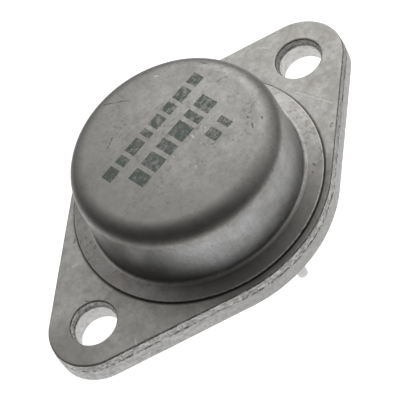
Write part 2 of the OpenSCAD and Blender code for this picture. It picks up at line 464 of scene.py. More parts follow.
@dataclass(frozen=True)
class TumbledPlate:
    """Dull plated steel face, tumbled: fine grain, faint blotches, dark pits, pale scratches and a darker line
    along its upper edges, with painted shade at its far -X end and round the cap's brim.
    """

    top_z: float
    brim_r: float
    colour: Colour = (0.67, 0.655, 0.63)
    shade: Colour = (0.48, 0.465, 0.44)
    # Painted shade: the darker colour laid towards the plate's far -X end.
    worn: Colour = (0.36, 0.345, 0.325)
    pit: Colour = (0.10, 0.095, 0.09)
    pale_colour: Colour = (0.85, 0.85, 0.84)
    # Colour of the darker line along the upper edges and of the painted shade round the cap's brim.
    edge_line_and_shade: Colour = (0.07, 0.065, 0.06)
    blotches: Grain = Grain(0.45, 5.0, 0.65)
    blotch_share: Fade = Fade(0.38, 0.64, 0.0, 0.75)
    fine: Grain = Grain(2.4, 5.0, 0.75)
    fine_share: Fade = Fade(0.40, 0.66, 0.0, 0.6)
    dust: Grain = Grain(7.0, 2.0, 0.7)
    dust_share: Fade = Fade(0.40, 0.66, 0.0, 0.35)
    # Painted shade: where the plate's far -X end darkens, and how far it reaches.
    end_shade_at: Point = (-19.5, 0.0)
    end_shade_reach: Fade = Fade(6.0, 1.5, 0.0, 0.8)
    pits: Dots = Dots(1.5, Fade(0.11, 0.05), Grain(1.1, 2.0), Fade(0.55, 0.62, 0.0, 0.8))
    rim_from: Fade = Fade(-0.4, -0.3)
    rim_to: Fade = Fade(-0.03, -0.09)
    rim_breaks: Grain = Grain(1.3, 4.0, 0.7)
    rim_share: Fade = Fade(0.36, 0.50, 0.25, 1.0)
    # Painted shade: a contact shadow in a ring round the brim, and a wider shaded strip on the brim's -Y side.
    brim_shadow_ring: Fade = Fade(0.28, 0.02, 0.0, 0.9)
    brim_shade_strip: Fade = Fade(1.3, 0.2, 0.0, 0.55)
    shade_strip_side: Fade = Fade(-7.5, -10.5)
    on_top: Fade = Fade(-0.1, -0.05)
    sheen: Sheen = Sheen(0.60, 0.04, 0.06)
    sheen_grain: Grain = Grain(1.6, 3.0, 0.6)
    fine_mm: float = 0.010
    pit_mm: float = -0.03
    nick_mm: float = -0.02
    blotch_mm: float = 0.006
    dark_marks: tuple[Stroke, ...] = (
        Stroke((-9.72, 6.94), (-9.36, 7.13), 0.13), Stroke((-13.8, 2.1), (-13.65, 1.8), 0.10),
        Stroke((10.4, -7.2), (10.75, -7.1), 0.15), Stroke((-16.3, -6.5), (-15.9, -6.8), 0.12),
        Stroke((-14.4, -1.6), (-14.2, -1.9), 0.08))
    pale_marks: tuple[Stroke, ...] = (
        Stroke((14.42, 4.37), (14.96, 3.15), 0.10), Stroke((12.09, -2.1), (12.57, -5.92), 0.09),
        Stroke((-14.43, -4.42), (-14.93, -5.01), 0.13), Stroke((-12.81, -5.93), (-12.92, -6.36), 0.11),
        Stroke((-11.25, 5.25), (-11.7, 5.5), 0.12), Stroke((-11.95, 5.75), (-12.2, 5.55), 0.10),
        Stroke((-15.5, 0.98), (-15.35, 0.75), 0.09))

    def edge_lines_and_shade(self, bench: FinishBench) -> Socket:
        """Mask a darker line along the plate's rounded upper edges, and painted shade on the top face beside
        the cap's brim: a painted contact shadow in a ring round it and a wider shaded strip on its -Y side.

        Args:
            bench: The material's bench.

        Returns:
            The mask's socket, 0 to 1.
        """
        _, y, z = bench.split(bench.place)
        # A darker line along the rounded upper edges, broken up by noise.
        rim = bench.product(bench.ramp(z, self.rim_to.at(self.top_z)),
                            bench.ramp(z, self.rim_from.at(self.top_z)),
                            bench.patches(self.rim_breaks, self.rim_share))
        reach = bench.away()
        # Painted shade: contact shadow round the brim and a shaded strip on its -Y side.
        strip = bench.product(bench.ramp(reach, self.brim_shade_strip.at(self.brim_r)),
                              bench.ramp(y, self.shade_strip_side))
        beside = bench.highest(bench.ramp(reach, self.brim_shadow_ring.at(self.brim_r)), strip)
        return bench.highest(rim, bench.product(beside, bench.ramp(z, self.on_top.at(self.top_z))))

    def build(self, name: str) -> bpy.types.Material:
        """Make the material.

        Args:
            name: Name of the material.

        Returns:
            The material.
        """
        bench = FinishBench(name)
        fine, blotches = bench.grain(self.fine), bench.grain(self.blotches)
        pits = bench.highest(bench.dots(self.pits), bench.strokes(self.dark_marks))
        nicks = bench.strokes(self.pale_marks)
        base = bench.layer(self.colour, (
            (bench.ramp(blotches, self.blotch_share), self.shade),
            (bench.ramp(fine, self.fine_share), self.shade),
            (bench.patches(self.dust, self.dust_share), self.shade),
            # Painted shade towards the plate's far -X end.
            (bench.ramp(bench.away(self.end_shade_at), self.end_shade_reach), self.worn),
            (pits, self.pit),
            (nicks, self.pale_colour),
            # The darker edge line and the painted shade round the brim.
            (self.edge_lines_and_shade(bench), self.edge_line_and_shade)))
        normal = bench.bump(((fine, self.fine_mm), (pits, self.pit_mm), (nicks, self.nick_mm),
                             (blotches, self.blotch_mm)))
        return bench.finish(base, bench.patches(self.sheen_grain, self.sheen.fade()), normal, 1.0)


@dataclass(frozen=True)
class PunchedWall:
    """Wall of the punched plate: pale metal with grain, dark tears that run along the edge, and painted shade
    that darkens it towards +X.
    """

    colour: Colour
    shade: Colour
    tear: Colour
    sheen: Sheen
    tear_from: float
    grain_mm: float
    seam_pull: float = 0.0
    # Painted shade: the X range over which the wall darkens towards +X.
    side_shade: Fade = Fade(-13.0, -4.0, 0.0, 0.0)
    flatten: float = 3.2
    coarse: Grain = Grain(1.5, 5.0, 0.7, 0.6)
    fine: Grain = Grain(3.4, 3.0, 0.7)
    fine_share: Fade = Fade(0.44, 0.62, 0.0, 0.7)
    soft: Grain = Grain(0.8, 3.0, 0.6)
    soft_share: Fade = Fade(0.38, 0.66, 0.0, 0.8)
    seam_z: float = 1.62
    seam_far: float = 0.3
    seam_near: float = 0.04
    tear_edge: float = 0.07
    tear_mm: float = 0.03

    def build(self, name: str) -> bpy.types.Material:
        """Make the material.

        Args:
            name: Name of the material.

        Returns:
            The material.
        """
        bench = FinishBench(name)
        x, y, z = bench.split(bench.place)
        flat = bench.join(x, y, bench.product(z, self.flatten))
        fine = bench.grain(self.fine)
        seam = bench.ramp(bench.gap(z, self.seam_z), Fade(self.seam_far, self.seam_near, 0.0, self.seam_pull))
        coarse = bench.math("ADD", bench.grain(self.coarse, flat), seam)
        tears = bench.ramp(coarse, Fade(0.0, self.tear_edge).at(self.tear_from))
        base = bench.layer(self.colour, (
            (bench.ramp(bench.grain(self.soft, flat), self.soft_share), self.shade),
            (bench.ramp(fine, self.fine_share), self.shade),
            # Painted shade: darker towards +X.
            (bench.ramp(x, self.side_shade), self.shade),
            (tears, self.tear)))
        normal = bench.bump(((bench.less(1.0, tears), self.tear_mm), (fine, self.grain_mm)))
        return bench.finish(base, bench.ramp(fine, self.sheen.fade()), normal, 1.0)


@dataclass(frozen=True)
class DrawnCap:
    """Plated drawn steel: matte mottled top with painted shade towards its edge, satin wall with draw lines,
    and a stained brim with painted shade on its -Y side, with painted highlights on the brim's edge and at the
    wall's foot.
    """

    edge_r: float
    colour: Colour = (0.495, 0.485, 0.47)
    wall_colour: Colour = (0.505, 0.51, 0.515)
    # Darker tone for the random blotches, grain, draw lines and dust, and the colour of the painted shade over
    # the top.
    dull_and_shade: Colour = (0.30, 0.29, 0.275)
    freckle: Colour = (0.22, 0.21, 0.20)
    stain: Colour = (0.30, 0.245, 0.21)
    # Painted shade: the dark colour laid on the brim's -Y side.
    brim_shade: Colour = (0.17, 0.165, 0.155)
    pit: Colour = (0.13, 0.12, 0.11)
    # Pale colour of nicks and flecks, and of the painted highlights on the brim's edge and at the wall's foot.
    pale_colour: Colour = (0.80, 0.80, 0.79)
    wall_low: float = 3.2
    wall_high: float = 7.9
    wall_from: Fade = Fade(0.0, 0.3)
    wall_to: Fade = Fade(0.1, -0.6)
    shoulder_from: Fade = Fade(0.0, 0.8)
    shoulder_to: Fade = Fade(1.8, 1.4, 0.0, 0.8)
    brim_from: Fade = Fade(9.9, 10.1)
    blotches: Grain = Grain(0.35, 5.0, 0.65)
    blotch_share: Fade = Fade(0.38, 0.64, 0.0, 0.5)
    fine: Grain = Grain(2.2, 5.0, 0.75)
    fine_share: Fade = Fade(0.40, 0.66, 0.0, 0.5)
    draw: Grain = Grain(3.2, 3.0, 0.6)
    draw_share: Fade = Fade(0.4, 0.7, 0.0, 0.25)
    draw_stretch: float = 0.15
    wall_clean: float = 0.6
    freckles: Grain = Grain(3.0, 2.0, 0.5)
    freckle_share: Fade = Fade(0.54, 0.64, 0.0, 0.6)
    clouds: Grain = Grain(0.3, 2.0)
    cloud_share: Fade = Fade(0.42, 0.58, 0.2, 1.0)
    dust: Grain = Grain(7.0, 2.0, 0.7)
    dust_share: Fade = Fade(0.42, 0.66, 0.0, 0.3)
    warmth: Grain = Grain(0.5, 3.0)
    warm_share: Fade = Fade(0.42, 0.66, 0.0, 0.28)
    # Painted shade on the brim: its centre, how blotchy its edge is, and its reach.
    brim_shade_at: Point = (-1.5, -9.5)
    brim_shade_wander: float = 6.5
    brim_shade_reach: Fade = Fade(18.2, 6.5, 0.0, 0.85)
    # Painted shade: the top and shoulder darken away from a lit centre.
    shade_centre: Point = (2.5, 0.0)
    shade_reach: Fade = Fade(3.0, 10.0, 0.0, 0.72)
    pits: Dots = Dots(1.6, Fade(0.10, 0.05), Grain(0.9, 2.0), Fade(0.55, 0.62, 0.0, 0.8))
    flecks: Dots = Dots(2.4, Fade(0.16, 0.07), Grain(0.9, 2.0), Fade(0.48, 0.56))
    flecks_at: Point = (1.0, -2.0)
    fleck_reach: Fade = Fade(4.2, 1.5, 0.0, 0.8)
    # Painted highlight along the brim's outer edge.
    edge_highlight_from: Fade = Fade(-0.14, -0.06)
    edge_highlight_share: Fade = Fade(0.35, 0.55, 0.1, 0.6)
    # Painted highlight along the fillet at the wall's foot.
    bend_r: float = 10.08
    bend_highlight: Fade = Fade(0.07, 0.02, 0.0, 0.28)
    bend_highlight_low: Fade = Fade(0.3, 0.0)
    sheen: Sheen = Sheen(0.46, 0.03, 0.05)
    sheen_grain: Grain = Grain(1.2, 3.0, 0.6)
    wall_polish: float = 0.03
    fine_mm: float = 0.006
    draw_mm: float = 0.006
    pit_mm: float = -0.03
    blotch_mm: float = 0.008
    dark_marks: tuple[Stroke, ...] = (
        Stroke((0.43, 8.17), (1.76, 6.28), 0.06), Stroke((-3.0, 4.79), (-1.95, 5.1), 0.08),
        Stroke((4.4, -5.9), (4.7, -5.6), 0.14), Stroke((5.0, -4.95), (5.1, -4.8), 0.10),
        Stroke((5.55, -6.1), (5.65, -5.9), 0.10), Stroke((7.9, 2.8), (8.0, 2.2), 0.15),
        Stroke((7.05, -6.95), (7.1, -6.8), 0.14), Stroke((6.4, -8.6), (6.45, -8.4), 0.14),
        Stroke((5.65, -8.9), (5.75, -8.8), 0.10), Stroke((7.8, -8.25), (7.9, -8.15), 0.10))
    pale_marks: tuple[Stroke, ...] = (
        Stroke((-1.1, -3.9), (-0.85, -3.8), 0.11), Stroke((-1.05, -1.45), (-1.0, -1.3), 0.08),
        Stroke((1.3, -1.8), (1.4, -1.5), 0.10), Stroke((4.8, 5.7), (5.0, 5.5), 0.10),
        Stroke((7.2, -6.6), (7.3, -6.45), 0.09))

    def nicks_and_highlights(self, bench: FinishBench, reach: Socket, z: Socket, fine: Socket) -> Socket:
        """Mask the pale marks: nicks and flecks on the top, and the painted highlights on the brim's edge and
        along the bend's line.

        Args:
            bench: The material's bench.
            reach: The socket of the distance from the cap's axis.
            z: The height's socket.
            fine: The fine grain's socket.

        Returns:
            The mask's socket, 0 to 1.
        """
        # Painted highlight on the brim's outer edge, broken up by the fine grain.
        edge = bench.product(bench.ramp(reach, self.edge_highlight_from.at(self.edge_r)),
                             bench.ramp(fine, self.edge_highlight_share))
        # Painted highlight along the fillet where the wall meets the brim.
        bend = bench.product(bench.ramp(bench.gap(reach, self.bend_r), self.bend_highlight),
                             bench.ramp(z, self.bend_highlight_low.at(self.wall_low)))
        flecks = bench.product(bench.dots(self.flecks),
                               bench.ramp(bench.away(self.flecks_at), self.fleck_reach),
                               bench.ramp(z, self.shoulder_from.at(self.wall_high)))
        return bench.highest(bench.strokes(self.pale_marks), flecks, edge, bend)

    def build(self, name: str) -> bpy.types.Material:
        """Make the material.

        Args:
            name: Name of the material.

        Returns:
            The material.
        """
        bench = FinishBench(name)
        x, y, z = bench.split(bench.place)
        fine, blotches = bench.grain(self.fine), bench.grain(self.blotches)
        draw = bench.grain(self.draw, bench.join(x, y, bench.product(z, self.draw_stretch)))
        on_wall = bench.product(bench.ramp(z, self.wall_from.at(self.wall_low)),
                                bench.ramp(z, self.wall_to.at(self.wall_high)))
        off_wall = bench.less(1.0, bench.product(on_wall, self.wall_clean))
        reach = bench.away()
        on_brim = bench.ramp(reach, self.brim_from)
        above = bench.ramp(z, self.shoulder_from.at(self.wall_high))
        on_shoulder = bench.product(above, bench.ramp(z, self.shoulder_to.at(self.wall_high)))
        clouds = bench.highest(bench.patches(self.clouds, self.cloud_share), on_shoulder)
        # Distance for the painted shade on the brim, made blotchy.
        wander = bench.math("ADD", bench.away(self.brim_shade_at), bench.product(blotches, self.brim_shade_wander))
        pits = bench.highest(bench.dots(self.pits), bench.strokes(self.dark_marks))
        base = bench.layer(self.colour, (
            (on_wall, self.wall_colour),
            (bench.ramp(blotches, self.blotch_share), self.dull_and_shade),
            (bench.product(bench.ramp(fine, self.fine_share), off_wall), self.dull_and_shade),
            (bench.product(on_wall, bench.ramp(draw, self.draw_share)), self.dull_and_shade),
            (bench.product(bench.patches(self.freckles, self.freckle_share), clouds, off_wall), self.freckle),
            (bench.patches(self.dust, self.dust_share), self.dull_and_shade),
            (bench.product(on_brim, bench.patches(self.warmth, self.warm_share)), self.stain),
            # Painted shade on the brim's -Y side, with a blotchy edge.
            (bench.product(on_brim, bench.ramp(wander, self.brim_shade_reach)), self.brim_shade),
            # Painted shade: darker away from a lit centre near (2.5, 0) on the top and shoulder.
            (bench.product(above, bench.ramp(bench.away(self.shade_centre), self.shade_reach)), self.dull_and_shade),
            (pits, self.pit),
            # Nicks and flecks, and the painted highlights on the brim's edge and at the wall's foot.
            (self.nicks_and_highlights(bench, reach, z, fine), self.pale_colour)))
        rough = bench.less(bench.patches(self.sheen_grain, self.sheen.fade()),
                           bench.product(on_wall, self.wall_polish))
        normal = bench.bump(((fine, self.fine_mm), (bench.product(draw, on_wall), self.draw_mm),
                             (pits, self.pit_mm), (blotches, self.blotch_mm)))
        return bench.finish(base, rough, normal, 1.0)


@dataclass(frozen=True)
class PlainMetal:
    """Small metal piece: one colour with light grain and soft shading of a second one."""

    colour: Colour
    shade: Colour
    sheen: Sheen
    grain: Grain = Grain(6.0, 3.0, 0.6)
    grain_share: Fade = Fade(0.4, 0.8, 0.0, 0.4)
    soft: Grain = Grain(0.9, 3.0, 0.6)
    soft_share: Fade = Fade(0.35, 0.68)
    grain_mm: float = 0.006

    def build(self, name: str) -> bpy.types.Material:
        """Make the material.

        Args:
            name: Name of the material.

        Returns:
            The material.
        """
        bench = FinishBench(name)
        fine = bench.grain(self.grain)
        base = bench.layer(self.colour, ((bench.patches(self.soft, self.soft_share), self.shade),
                                         (bench.ramp(fine, self.grain_share), self.shade)))
        normal = bench.bump(((fine, self.grain_mm),))
        return bench.finish(base, bench.ramp(fine, self.sheen.fade()), normal, 1.0)


@dataclass(frozen=True)
class PlainBody:
    """Small piece that isn't metal, such as glass, silicon or silicone."""

    colour: Colour
    shade: Colour
    sheen: Sheen
    coat: float
    grain: Grain = Grain(5.0, 3.0, 0.6)
    grain_share: Fade = Fade(0.35, 0.7)
    grain_mm: float = 0.004

    def build(self, name: str) -> bpy.types.Material:
        """Make the material.

        Args:
            name: Name of the material.

        Returns:
            The material.
        """
        bench = FinishBench(name)
        fine = bench.grain(self.grain)
        base = bench.mix(bench.ramp(fine, self.grain_share), self.colour, self.shade)
        bench.shader.inputs["Coat Weight"].default_value = self.coat
        normal = bench.bump(((fine, self.grain_mm),))
        return bench.finish(base, bench.ramp(fine, self.sheen.fade()), normal, 0.0)


@dataclass(frozen=True)
class WornInk:
    """Thin dark print that has worn through to the metal in places."""

    colour: Colour = (0.095, 0.15, 0.12)
    faded: Colour = (0.165, 0.21, 0.18)
    grain: Grain = Grain(7.0, 4.0, 0.65)
    grain_share: Fade = Fade(0.35, 0.7)
    cover: Grain = Grain(2.4, 4.0, 0.7)
    cover_share: Fade = Fade(0.34, 0.62, 0.20, 0.70)
    roughness: float = 0.5
    grain_mm: float = 0.003

    def build(self, name: str) -> bpy.types.Material:
        """Make the material.

        Args:
            name: Name of the material.

        Returns:
            The material.
        """
        bench = FinishBench(name)
        fine = bench.grain(self.grain)
        base = bench.mix(bench.ramp(fine, self.grain_share), self.colour, self.faded)
        bench.feed(bench.shader.inputs["Alpha"], bench.patches(self.cover, self.cover_share))
        return bench.finish(base, self.roughness, bench.bump(((fine, self.grain_mm),)), 0.0)


def corners(node: str) -> tuple[Place, Place]:
    """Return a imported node's lowest and highest corners, in millimetres to three places."""
    return tuple(tuple(round(value / MM, 3) for value in corner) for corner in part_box(node))


def mount_sizes(name: str) -> dict[str, float]:
    """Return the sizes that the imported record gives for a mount, in millimetres."""
    return next(mount["dims"] for mount in frame["record"]["mounts"] if mount["name"] == name)


def arc(centre: Point, rx: float, ry: float, start: float, end: float, steps: int) -> Ring:
    """Return the points of an elliptical arc from its centre, radii, end angles in degrees and steps."""
    turns = [math.radians(start + (end - start) * i / steps) for i in range(steps + 1)]
    return [(centre[0] + rx * math.cos(t), centre[1] + ry * math.sin(t)) for t in turns]


def between(start: Point, end: Point, shares: Iterable[float]) -> Ring:
    """Return points on a straight line, at given shares of it."""
    return [(start[0] + (end[0] - start[0]) * t, start[1] + (end[1] - start[1]) * t) for t in shares]


def smooth_noise(x: float, y: float, z: float) -> float:
    """Return a smooth noise value of about -1 to 1 at a place in millimetres."""
    return noise.noise(Vector((x, y, z)), noise_basis="PERLIN_ORIGINAL")


def swell(x: float, y: float, z: float) -> float:
    """Return a smooth noise value of about 0 to 1 at a place in millimetres."""
    return 0.5 + 0.5 * smooth_noise(x, y, z)


def link_new(name: str, data: bpy.types.ID) -> bpy.types.Object:
    """Put new data in the scene.

    Args:
        name: Name of the object.
        data: Its mesh, camera or lamp.

    Returns:
        The new object.
    """
    thing = bpy.data.objects.new(name, data)
    bpy.context.scene.collection.objects.link(thing)
    return thing


def make_object(name: str, bm: bmesh.types.BMesh, materials: Sequence[bpy.types.Material]) -> bpy.types.Object:
    """Turn a bmesh in millimetres into a dressed object on the root body.

    Args:
        name: Name of the piece.
        bm: The mesh, which is freed here.
        materials: The object's materials, in the order of the faces' indices.

    Returns:
        The new object.
    """
    bmesh.ops.remove_doubles(bm, verts=bm.verts, dist=1e-5)
    bmesh.ops.recalc_face_normals(bm, faces=bm.faces)
    bmesh.ops.scale(bm, vec=(MM, MM, MM), verts=bm.verts)
    mesh = bpy.data.meshes.new(name)
    bm.to_mesh(mesh)
    bm.free()
    piece = link_new(name, mesh)
    for material in materials:
        mesh.materials.append(material)
    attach(piece, "root")
    return piece


def shade_smooth(piece: bpy.types.Object, sharp_deg: float) -> None:
    """Shade a piece smooth, with its sharper edges kept.

    Args:
        piece: The piece.
        sharp_deg: Angle in degrees from which an edge stays sharp.
    """
    bm = bmesh.new()
    bm.from_mesh(piece.data)
    for face in bm.faces:
        face.smooth = True
    for edge in bm.edges:
        edge.smooth = not edge.is_manifold or edge.calc_face_angle(0.0) < math.radians(sharp_deg)
    bm.to_mesh(piece.data)
    bm.free()


def lathe(profile: Ring, segments: int,
          nudge: Callable[[float, float, float], Vector] | None = None) -> bmesh.types.BMesh:
    """Turn a closed section about the Z axis.

    Args:
        profile: Points of radius and height in millimetres, in order, closed by themselves.
        segments: Steps around.
        nudge: Shift of a point from its radius, angle and height, or None.

    Returns:
        The new mesh in millimetres.
    """
    bm = bmesh.new()
    rings = []
    for r, z in profile:
        turns = [2.0 * math.pi * i / segments for i in range(segments)] if r >= TINY else [0.0]
        ring = []
        for a in turns:
            at = Vector((r * math.cos(a), r * math.sin(a), z))
            ring.append(bm.verts.new(at + nudge(r, a, z) if nudge else at))
        rings.append(ring)
    for lower, upper in zip(rings, rings[1:] + rings[:1]):
        if len(lower) == 1 and len(upper) == 1:
            continue
        for i in range(segments):
            j = (i + 1) % segments
            four = [ring[k % len(ring)] for ring, k in ((lower, i), (lower, j), (upper, j), (upper, i))]
            bm.faces.new(list(dict.fromkeys(four)))
    return bm


@dataclass(frozen=True)
class PinPlace:
    """A pin's node, the place of its axis, its radius and ends, and the radius of its seal."""

    node: str
    x: float
    y: float
    r: float
    low: float
    high: float
    seal_r: float

    @property
    def seal(self) -> str:
        """Return the name of the seal's node."""
        return self.node + "_seal"

    @classmethod
    def from_frame(cls, node: str) -> "PinPlace":
        """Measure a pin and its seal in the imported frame.

        Args:
            node: The pin's node.

        Returns:
            The pin's place.
        """
        low, high = corners(node)
        seal_low, seal_high = corners(node + "_seal")
        x, y = (round((low[i] + high[i]) / 2, 3) for i in (0, 1))
        return cls(node, x, y, round((high[0] - low[0]) / 2, 3), low[2], high[2],
                   round((seal_high[0] - seal_low[0]) / 2, 3))


@dataclass(frozen=True)
class Lamp:
    """Soft square lamp that faces the part: its place and side in millimetres, and its power."""

    name: str
    at: Place
    side: float
    watts: float

    def hang(self) -> bpy.types.Object:
        """Hang the lamp.

        Returns:
            The lamp.
        """
        data = bpy.data.lights.new(self.name, "AREA")
        data.shape = "SQUARE"
        data.size = self.side * MM
        data.energy = self.watts
        lamp = link_new(self.name, data)
        lamp.location = Vector(self.at) * MM
        lamp.rotation_euler = (-Vector(self.at)).to_track_quat("-Z", "Y").to_euler()
        return lamp


@dataclass
class Studio:
    """Camera, pale floor, one soft lamp and a surround that is white to the eye."""

    floor_z: float
    camera_at: Place = (-48.85, -103.55, 144.05)
    aim_at: Place = (-1.424, -2.076, 4.0)
    roll_deg: float = -32.235
    focal_px: float = 2095.9
    clip_m: Point = (0.005, 10.0)
    floor_half_m: float = 0.9
    floor_cells: int = 8
    floor_middle: Point = (-12.0, 8.0)
    floor_reach: Point = (45.0, 90.0)
    floor_paint: Point = (0.74, 0.25)
    floor_mirrored: Point = (0.78, 0.0)
    floor_seen: float = 0.85
    dark_side: Place = (-0.906, -0.421, 0.05)
    sky: Fade = Fade(-0.50, 0.35, 0.88, 0.08)
    sky_low: Fade = Fade(0.2, 0.75, 0.55)
    lamp: Lamp = Lamp("near_box", (82.0, 45.0, 78.0), 75.0, 0.022)

    def set_camera(self) -> bpy.types.Object:
        """Create the camera at the photograph's viewing angle.

        Returns:
            The camera.
        """
        data = bpy.data.cameras.new("camera")
        data.sensor_width = SENSOR_MM
        data.lens = self.focal_px * SENSOR_MM / IMAGE_SIDE
        data.clip_start, data.clip_end = self.clip_m
        camera = link_new("camera", data)
        start, aim = Vector(self.camera_at) * MM, Vector(self.aim_at) * MM
        look = (aim - start).to_track_quat("-Z", "Y").to_matrix().to_4x4()
        roll = Matrix.Rotation(math.radians(self.roll_deg), 4, "Z")
        camera.matrix_world = Matrix.Translation(start) @ look @ roll
        bpy.context.scene.camera = camera
        return camera

    def paint_floor(self) -> bpy.types.Material:
        """Make a floor that looks white, also in reflections, keeps the shadow and darkens far away.

        Returns:
            The material.
        """
        material = bpy.data.materials.new("pale_floor")
        material.use_nodes = True
        bench = NodeBench(material.node_tree)
        middle = (self.floor_middle[0] * MM, self.floor_middle[1] * MM, self.floor_z * MM)
        reach = bench.weigh("DISTANCE", bench.add("TexCoord").outputs["Object"], middle)
        near, far = (edge * MM for edge in self.floor_reach)
        ray = bench.add("LightPath")
        mirrored = bench.product(ray.outputs["Is Glossy Ray"],
                                 bench.ramp(reach, Fade(near, far, *self.floor_mirrored)))
        seen = bench.product(ray.outputs["Is Camera Ray"], self.floor_seen)
        paint, glow, both = bench.add("BsdfDiffuse"), bench.add("Emission"), bench.add("AddShader")
        bench.feed(paint.inputs["Color"], bench.ramp(reach, Fade(near, far, *self.floor_paint)))
        bench.feed(glow.inputs["Strength"], bench.math("ADD", mirrored, seen))
        bench.feed(both.inputs[0], paint.outputs[0])
        bench.feed(both.inputs[1], glow.outputs[0])
        bench.feed(bench.add("OutputMaterial").inputs["Surface"], both.outputs[0])
        return material

    def lay_floor(self) -> bpy.types.Object:
        """Lay the wide floor under the pins' tips.

        Returns:
            The floor.
        """
        bm = bmesh.new()
        cells = self.floor_cells
        bmesh.ops.create_grid(bm, x_segments=cells, y_segments=cells, size=self.floor_half_m)
        bmesh.ops.translate(bm, vec=(0.0, 0.0, self.floor_z * MM), verts=bm.verts)
        mesh = bpy.data.meshes.new("floor")
        bm.to_mesh(mesh)
        bm.free()
        floor = link_new("floor", mesh)
        mesh.materials.append(self.paint_floor())
        return floor

    def set_world(self) -> bpy.types.World:
        """Light the part from the far side, fading to dark on the camera's side.

        Returns:
            The world.
        """
        world = bpy.data.worlds.new("surround")
        world.use_nodes = True
        bpy.context.scene.world = world
        bench = NodeBench(world.node_tree)
        way = bench.add("TexCoord").outputs["Generated"]
        lit = bench.product(bench.ramp(bench.weigh("DOT_PRODUCT", way, self.dark_side), self.sky),
                            bench.ramp(bench.split(way)[2], self.sky_low))
        seen = bench.add("LightPath").outputs["Is Camera Ray"]
        back = bench.add("Background")
        bench.feed(back.inputs["Color"], (1.0, 1.0, 1.0))
        bench.feed(back.inputs["Strength"], bench.highest(lit, seen))
        bench.feed(bench.add("OutputWorld").inputs["Surface"], back.outputs[0])
        return world

    def build(self) -> None:
        """Set up the whole studio."""
        self.set_camera()
        self.lay_floor()
        self.set_world()
        self.lamp.hang()
        bpy.context.scene.view_settings.view_transform = "Standard"


@dataclass(frozen=True)
class Level:
    """One level of a wall: its inset or radius, its height, its share of tearing and the band above it."""

    size: float
    z: float
    torn: float
    band: Band


@dataclass(frozen=True)
class Relief:
    """One part of the torn bands' relief: noise steps per millimetre along each axis, shift and weight."""

    steps: Place
    shift: float
    weight: float

    def value(self, at: Vector) -> float:
        """Return the relief's noise at a place, by its weight."""
        sx, sy, sz = self.steps
        return self.weight * smooth_noise(at.x * sx + self.shift, at.y * sy, at.z * sz)


